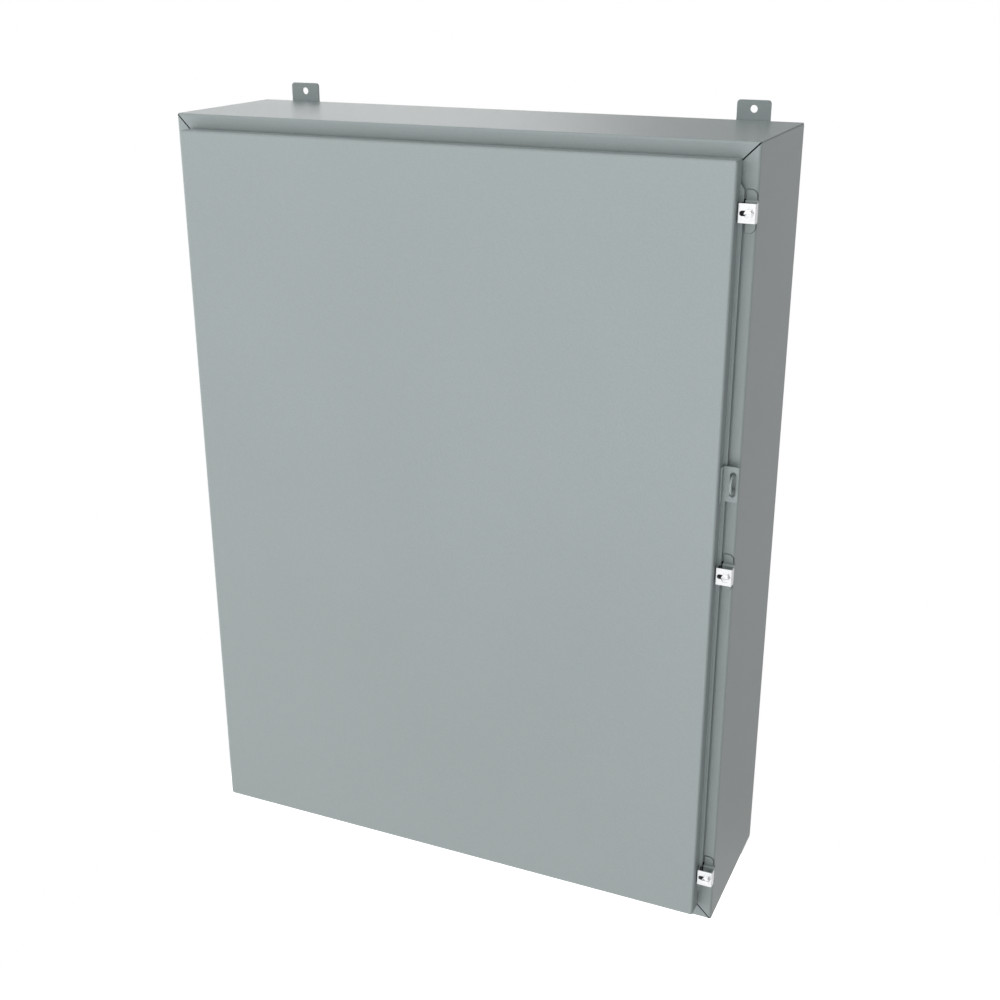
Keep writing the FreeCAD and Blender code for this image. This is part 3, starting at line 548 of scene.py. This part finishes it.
# The clamps, their screws and the hinge pin: bright stainless steel, rolled and tumbled, so that
# it is almost white with a faint grain. The screws' heads are chamfered all round.
ROLLED_WIDE = 0.4 * MM
ROLLED_STRETCH = (0.05, 1.0, 1.0)
SMUDGE_WIDE = 9.0 * MM
STEEL_DARK = (0.74, 0.75, 0.77, 1.0)
STEEL_LIGHT = (0.88, 0.88, 0.89, 1.0)
STEEL_ROUGH = 0.18
ROLLED_SWING = 0.14
SMUDGE_SWING = 0.10
STEEL_RISE = 0.01 * MM


def stainless_finish():
    """Bright steel with a rolling grain that is long in X, and with soft smudges."""
    made, shader, spot = finish("stainless", Metallic=1.0)
    stretched = spot.node("Mapping", {}, {"Vector": spot, "Scale": ROLLED_STRETCH})
    grain = stretched.noise(ROLLED_WIDE, detail=3.0)
    smudge = spot.noise(SMUDGE_WIDE)
    wire(shader, Base_Color=smudge.blend(STEEL_DARK, STEEL_LIGHT),
         Roughness=STEEL_ROUGH + ROLLED_SWING * grain + SMUDGE_SWING * (smudge - 0.5),
         Normal=grain.bump(STEEL_RISE))
    return made


HEAD_CHAMFER = 1.5 * MM
HEAD_INSIDE = 4.0 * MM
HEAD_FLAT = 0.01 * MM


def chamfer_head(form):
    """Widen the bevel round a screw's head: the rim of its front face is cut off, as far as the
    faces beside it allow. The rim is those edges of the face whose middle is further from the
    screw's axis than the slot's edges are."""
    spots = np.array([vert.co for vert in form.verts])
    low, high = spots.min(axis=0), spots.max(axis=0)
    axis = Vector(((low[0] + high[0]) / 2.0, low[1], (low[2] + high[2]) / 2.0))
    rim = [edge for edge in form.edges
           if all(abs(vert.co.y - axis.y) < HEAD_FLAT for vert in edge.verts)
           and ((edge.verts[0].co + edge.verts[1].co) / 2.0 - axis).length > HEAD_INSIDE]
    bmesh.ops.bevel(form, geom=rim, offset=HEAD_CHAMFER, offset_type="OFFSET", segments=1,
                    affect="EDGES", clamp_overlap=True)


CLAMP_EASE = 0.45 * MM
SCREW_EASE = 0.2 * MM
paint(stainless_finish(), ["hinge_pin", *("clamp_plate_" + row for row in CLAMPS),
                           *("clamp_screw_" + row for row in CLAMPS)])
for row in CLAMPS:
    eased("clamp_plate_" + row, "clamp_" + row, CLAMP_EASE)
    eased("clamp_screw_" + row, "screw_" + row, SCREW_EASE, cut=chamfer_head)


# The panel's studs and nuts and the earth studs: turned and threaded steel under blue-grey zinc,
# which has a soft crystal pattern.
def mottled(name, dark, light, wide, detail, rough, swing, rise, fine=None, **plain):
    """A finish whose tone, roughness and height follow one soft noise of a width. Where a fine
    width is given, the height follows a noise of that width instead."""
    made, shader, spot = finish(name, **plain)
    mottle = spot.noise(wide, detail)
    height = spot.noise(fine) if fine else mottle
    wire(shader, Base_Color=mottle.blend(dark, light), Roughness=rough + swing * mottle,
         Normal=height.bump(rise))
    return made


zinc = mottled("zinc", (0.50, 0.53, 0.57, 1.0), (0.70, 0.71, 0.72, 1.0), wide=4.0 * MM, detail=3.0,
               rough=0.26, swing=0.2, rise=0.02 * MM, fine=0.6 * MM, Metallic=1.0)


def turned(heights, radii, sides=36, closed=False):
    """Points and faces of a form turned about Z. Row i is at heights[i], and its distance from the
    axis is radii[i], one number or one for each side. A closed form joins its last row to its
    first, as a ring does."""
    radii = np.array([np.broadcast_to(row, (sides,)) for row in radii])
    angle = 2.0 * math.pi * np.arange(sides) / sides
    points = np.stack([radii * np.cos(angle), radii * np.sin(angle),
                       np.broadcast_to(np.array(heights)[:, None], radii.shape)], axis=2)
    return points.reshape(-1, 3), grid_faces(len(heights), sides, around=True, closed=closed)


THREAD_ROWS = 8
THREAD_DEPTH = 0.54
THREAD_TIP = 0.70
THREAD_TAPER = 1.2


def threaded(start, end, radius, pitch, sides=36):
    """A screw thread about Z. The distance from the axis falls from the crest to the root and
    rises again, in a straight line both ways, once in each pitch, and its place in the pitch goes
    round with the angle. The end is cut to a cone: THREAD_TIP times the radius at the very end,
    and wider by THREAD_TAPER times the way in from there."""
    heights = np.linspace(start, end, THREAD_ROWS * int((end - start) / pitch) + 1)
    place = heights[:, None] / pitch - np.arange(sides)[None, :] / sides
    depth = THREAD_DEPTH * pitch * (1.0 - np.abs(2.0 * (place % 1.0) - 1.0))
    cone = np.clip((end - heights) * THREAD_TAPER + THREAD_TIP * radius, 0.0, radius)
    rows = np.minimum(radius - depth, cone[:, None])
    return turned([start, *heights, end], [0.0, *rows, 0.0], sides)


def hexagon(flats, sides):
    """The distance from a hexagon's middle to its rim at each side's angle: half the flats over
    the cosine of the angle to the nearest flat's middle."""
    angle = 2.0 * math.pi * np.arange(sides) / sides
    return flats / 2.0 / np.cos(angle % (math.pi / 3.0) - math.pi / 6.0)


NUT_FACE = 0.475
NUT_ANGLE = math.radians(30.0)
NUT_BEVEL = 0.6 * MM
NUT_ROWS = 5


def hex_nut(bottom, tall, flats, bore, sides=48):
    """A nut about Z. Its rim is the hexagon, and the chamfers of both faces cut its corners: a
    corner is never further out than the face's ring plus the way in from the face over the tangent
    of the chamfer's angle. The bore widens to a bevel at both faces."""
    rim = hexagon(flats, sides)
    ring = NUT_FACE * flats
    slope = 1.0 / math.tan(NUT_ANGLE)
    steps = np.linspace(0.0, (rim.max() - ring) / slope, NUT_ROWS)
    rows = [np.minimum(rim, ring + step * slope) for step in steps]
    top = bottom + tall
    heights = [bottom + NUT_BEVEL, bottom, *(bottom + steps), *(top - steps[::-1]), top,
               top - NUT_BEVEL]
    wide = bore + NUT_BEVEL
    return turned(heights, [bore, wide, *rows, *rows[::-1], wide, bore], sides, closed=True)


def washer(thick, radius, bore):
    """A flat ring about Z with its two outer edges cut off by a third of its thickness."""
    ease = thick / 3.0
    return turned([0.0, 0.0, ease, thick - ease, thick, thick],
                  [bore, radius - ease, radius, radius, radius - ease, bore], closed=True)


RING_INSIDE = 0.2 * MM
RING_COLUMNS = 6


def ring_bead(bottom, radius, leg):
    """A weld bead round a stud: a quarter of a circle of radius leg in the corner at its root."""
    turn = np.linspace(0.0, math.pi / 2.0, RING_COLUMNS)
    return turned([bottom, *(bottom + leg * np.sin(turn))],
                  [radius - RING_INSIDE, *(radius + leg * np.cos(turn))], closed=True)


def stood(part, origin, way):
    """Points and faces about Z, moved to an origin with their +Z turned to "+Y", "-Y" or "+Z"."""
    points, faces = part
    x, y, z = points.T
    turned_to = {"+Z": (x, y, z), "-Y": (x, -z, y), "+Y": (x, z, -y)}[way]
    return np.stack(turned_to, axis=1) + np.array(origin), faces


# The inner panel's studs: a turned collar that the panel stops against and a 3/8 inch thread past
# it, welded to the back sheet with a bead round the collar. A plain nut holds the panel.
COLLAR_R = 8.0 * MM
COLLAR_END = 20.8 * MM
COLLAR_EASE = 0.8 * MM
COLLAR_HOLDS = 1.0 * MM
STUD_R = 4.76 * MM
STUD_PITCH = 1.5875 * MM
NUT_FLATS = 14.3 * MM
NUT_PLAY = 0.1 * MM
RING_LEG = 2.0 * MM
stud_low, stud_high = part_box("panel_studs")
nut_low, nut_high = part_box("panel_nuts")
root, tip = -stud_high[1], -stud_low[1]
collar = turned([root, root, COLLAR_END - COLLAR_EASE, COLLAR_END, COLLAR_END],
                [0.0, COLLAR_R, COLLAR_R, COLLAR_R - COLLAR_EASE, 0.0])
screw = threaded(COLLAR_END - COLLAR_HOLDS, tip, STUD_R, STUD_PITCH)
nut = hex_nut(-nut_high[1], nut_high[1] - nut_low[1], NUT_FLATS, STUD_R + NUT_PLAY)
weld = ring_bead(root, COLLAR_R, RING_LEG)
places = [(x * (stud_high[0] - COLLAR_R), 0.0, z * (stud_high[2] - COLLAR_R))
          for x in (-1.0, 1.0) for z in (-1.0, 1.0)]
studs = make("threaded_panel_studs",
             [stood(part, place, "-Y") for place in places for part in (collar, screw)],
             zinc, "enclosure")
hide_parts("panel_studs")
nuts = make("chamfered_panel_nuts", [stood(nut, place, "-Y") for place in places],
            zinc, "enclosure")
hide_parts("panel_nuts")
make("stud_weld_rings", [stood(weld, place, "-Y") for place in places],
     grey_paint, "enclosure")


# The two earth studs, one on the box's floor and one inside the door: a 1/4 inch thread welded to
# the sheet, with a flat washer and a nut screwed down to it.
EARTH_R = 3.175 * MM
EARTH_PITCH = 1.27 * MM
EARTH_NUT = 11.1 * MM
EARTH_NUT_TALL = 5.6 * MM
EARTH_NUT_PLAY = 0.05 * MM
WASHER_R = 7.9 * MM
WASHER_THICK = 1.3 * MM
WASHER_PLAY = 0.2 * MM
EARTH_STUDS = (("body_ground_stud", "enclosure", "+Z"), ("door_ground_stud", "door", "+Y"))
earth_nut = hex_nut(WASHER_THICK, EARTH_NUT_TALL, EARTH_NUT, EARTH_R + EARTH_NUT_PLAY)
earth_washer = washer(WASHER_THICK, WASHER_R, EARTH_R + WASHER_PLAY)
for name, body, way in EARTH_STUDS:
    low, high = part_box(name)
    axis = "XYZ".index(way[1])
    origin = [(a + b) / 2.0 for a, b in zip(low, high)]
    origin[axis] = low[axis]
    thread = threaded(0.0, high[axis] - low[axis], EARTH_R, EARTH_PITCH)
    rod = make(name + "_thread", [stood(thread, origin, way)], zinc, body)
    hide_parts(name)
    make(name + "_nut", [stood(earth_nut, origin, way)], zinc, body)
    make(name + "_washer", [stood(earth_washer, origin, way)], zinc, body)


# The door's seal: black foam poured in place in a round-cornered ring, with a skin of fine pores.
foam = mottled("gasket_foam", (0.012, 0.012, 0.013, 1.0), (0.035, 0.035, 0.036, 1.0),
               wide=1.2 * MM, detail=3.0, rough=0.75, swing=0.2, rise=0.2 * MM, IOR=1.4)
SEAL_WIDE = 16.0 * MM
SEAL_ROUND = 9.0 * MM
SEAL_STEP = 18.0 * MM
SEAL_ARCH = 15
SEAL_POWER = 0.7
SEAL_SINK = 0.02
SEAL_WAVES = (0.9, 0.23)
CORNER_POINTS = 9


def rounded_rectangle(half_x, half_z, radius, spacing):
    """Points round a rectangle with round corners, and the outward direction at each. Every side
    is divided evenly, at about the spacing, and every corner into eight parts of a quarter turn."""
    points, outs = [], []
    signs = np.array(((1.0, 1.0), (-1.0, 1.0), (-1.0, -1.0), (1.0, -1.0)))
    middles = signs * (half_x - radius, half_z - radius)
    for step, middle in enumerate(middles):
        turn = math.pi / 2.0 * (step + np.linspace(0.0, 1.0, CORNER_POINTS))
        out = np.stack([np.cos(turn), np.sin(turn)], axis=1)
        arc = middle + radius * out
        end = middles[(step + 1) % 4] + radius * out[-1]
        count = int(np.linalg.norm(end - arc[-1]) / spacing)
        share = np.linspace(0.0, 1.0, count + 1)[1:-1, None]
        points += [arc, arc[-1] + share * (end - arc[-1])]
        outs += [out, np.broadcast_to(out[-1], (count - 1, 2))]
    return np.concatenate(points), np.concatenate(outs)


def seal_dome(low, high):
    """Points and faces of the seal in a box. Across it: half its width times the cosine, and its
    height times a power of the sine, which is a low dome with steep sides. Its height sinks a
    little in slow waves along it."""
    line, outs = rounded_rectangle(high[0] - SEAL_WIDE / 2.0, high[2] - SEAL_WIDE / 2.0,
                                   SEAL_ROUND, SEAL_STEP)
    arch = np.linspace(0.0, math.pi, SEAL_ARCH)
    step = np.arange(len(line))
    waves = np.sin(step * SEAL_WAVES[0]) * np.sin(step * SEAL_WAVES[1])
    sink = 1.0 - SEAL_SINK * (1.0 + waves) / 2.0
    rise = (high[1] - low[1]) * np.sin(arch) ** SEAL_POWER
    across = SEAL_WIDE / 2.0 * np.cos(arch)
    flat = line[:, None, :] + outs[:, None, :] * across[None, :, None]
    depth = low[1] + sink[:, None] * rise[None, :]
    points = np.stack([flat[:, :, 0], depth, flat[:, :, 1]], axis=2)
    return points.reshape(-1, 3), grid_faces(len(line), len(arch), around=True, closed=True)


seal = make("foam_seal", [seal_dome(*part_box("door_gasket"))], foam, "door")
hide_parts("door_gasket")


# The data pocket: moulded grey plastic with a fine etched texture.
POCKET_EASE = 0.8 * MM
plastic = mottled("pocket_plastic", (0.20, 0.21, 0.215, 1.0), (0.24, 0.25, 0.255, 1.0),
                  wide=0.7 * MM, detail=2.0, rough=0.50, swing=0.15, rise=0.04 * MM, IOR=1.49)
paint(plastic, ["data_pocket"])
eased("data_pocket", "door", POCKET_EASE)


# The spot welds that hold the stiffener to the door: each electrode leaves a shallow round dish
# with a raised rim, in two rows along the stiffener's feet.
DISH_SHARES = np.array([1.0, 0.95, 0.85, 0.75, 0.5, 0.25, 0.0])
DISH_HEIGHTS = np.array([-0.10, 0.20, 0.30, 0.22, 0.10, 0.06, 0.05]) * MM
DISH_SIDES = 24


def spot_row(radius, x, y, ends, count, way):
    """Dishes in a row between two heights. From a dish's middle out, its height rises from 0.05 mm
    to a rim of 0.30 mm at 0.85 of the radius, and falls to below the sheet at the radius."""
    dish = turned([DISH_HEIGHTS[0], *DISH_HEIGHTS], [0.0, *(DISH_SHARES * radius)], DISH_SIDES)
    return [stood(dish, (x, y, z), way) for z in np.linspace(*ends, count)]


SPOT_R = 3.4 * MM
SPOT_COUNT = 12
SPOT_END = 20.0 * MM
STIFFENER_FOOT = 16.0 * MM
STIFFENER_THICK = 1.9 * MM
stiff_low, stiff_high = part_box("door_stiffener")
spot_x = stiff_high[0] - STIFFENER_FOOT / 2.0
spot_y = stiff_low[1] + STIFFENER_THICK
ends = (stiff_low[2] + SPOT_END, stiff_high[2] - SPOT_END)
spots = [*spot_row(SPOT_R, -spot_x, spot_y, ends, SPOT_COUNT, "+Y"),
         *spot_row(SPOT_R, spot_x, spot_y, ends, SPOT_COUNT, "+Y")]
make("stiffener_spot_welds", spots, grey_paint, "door")


# The hinge's outer leaf is held to the flange in the same way, by one row of smaller spot welds.
LEAF_SPOT_R = 2.6 * MM
LEAF_SPOT_COUNT = 14
LEAF_SPOT_END = 25.0 * MM
LEAF_FOOT = 10.0 * MM
LEAF_THICK = 1.5 * MM
leaf_low, leaf_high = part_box("hinge_body_leaf")
ends = (leaf_low[2] + LEAF_SPOT_END, leaf_high[2] - LEAF_SPOT_END)
spots = spot_row(LEAF_SPOT_R, leaf_low[0] + LEAF_FOOT / 2.0, leaf_high[1] - LEAF_THICK, ends,
                 LEAF_SPOT_COUNT, "-Y")
make("hinge_spot_welds", spots, grey_paint, "enclosure")
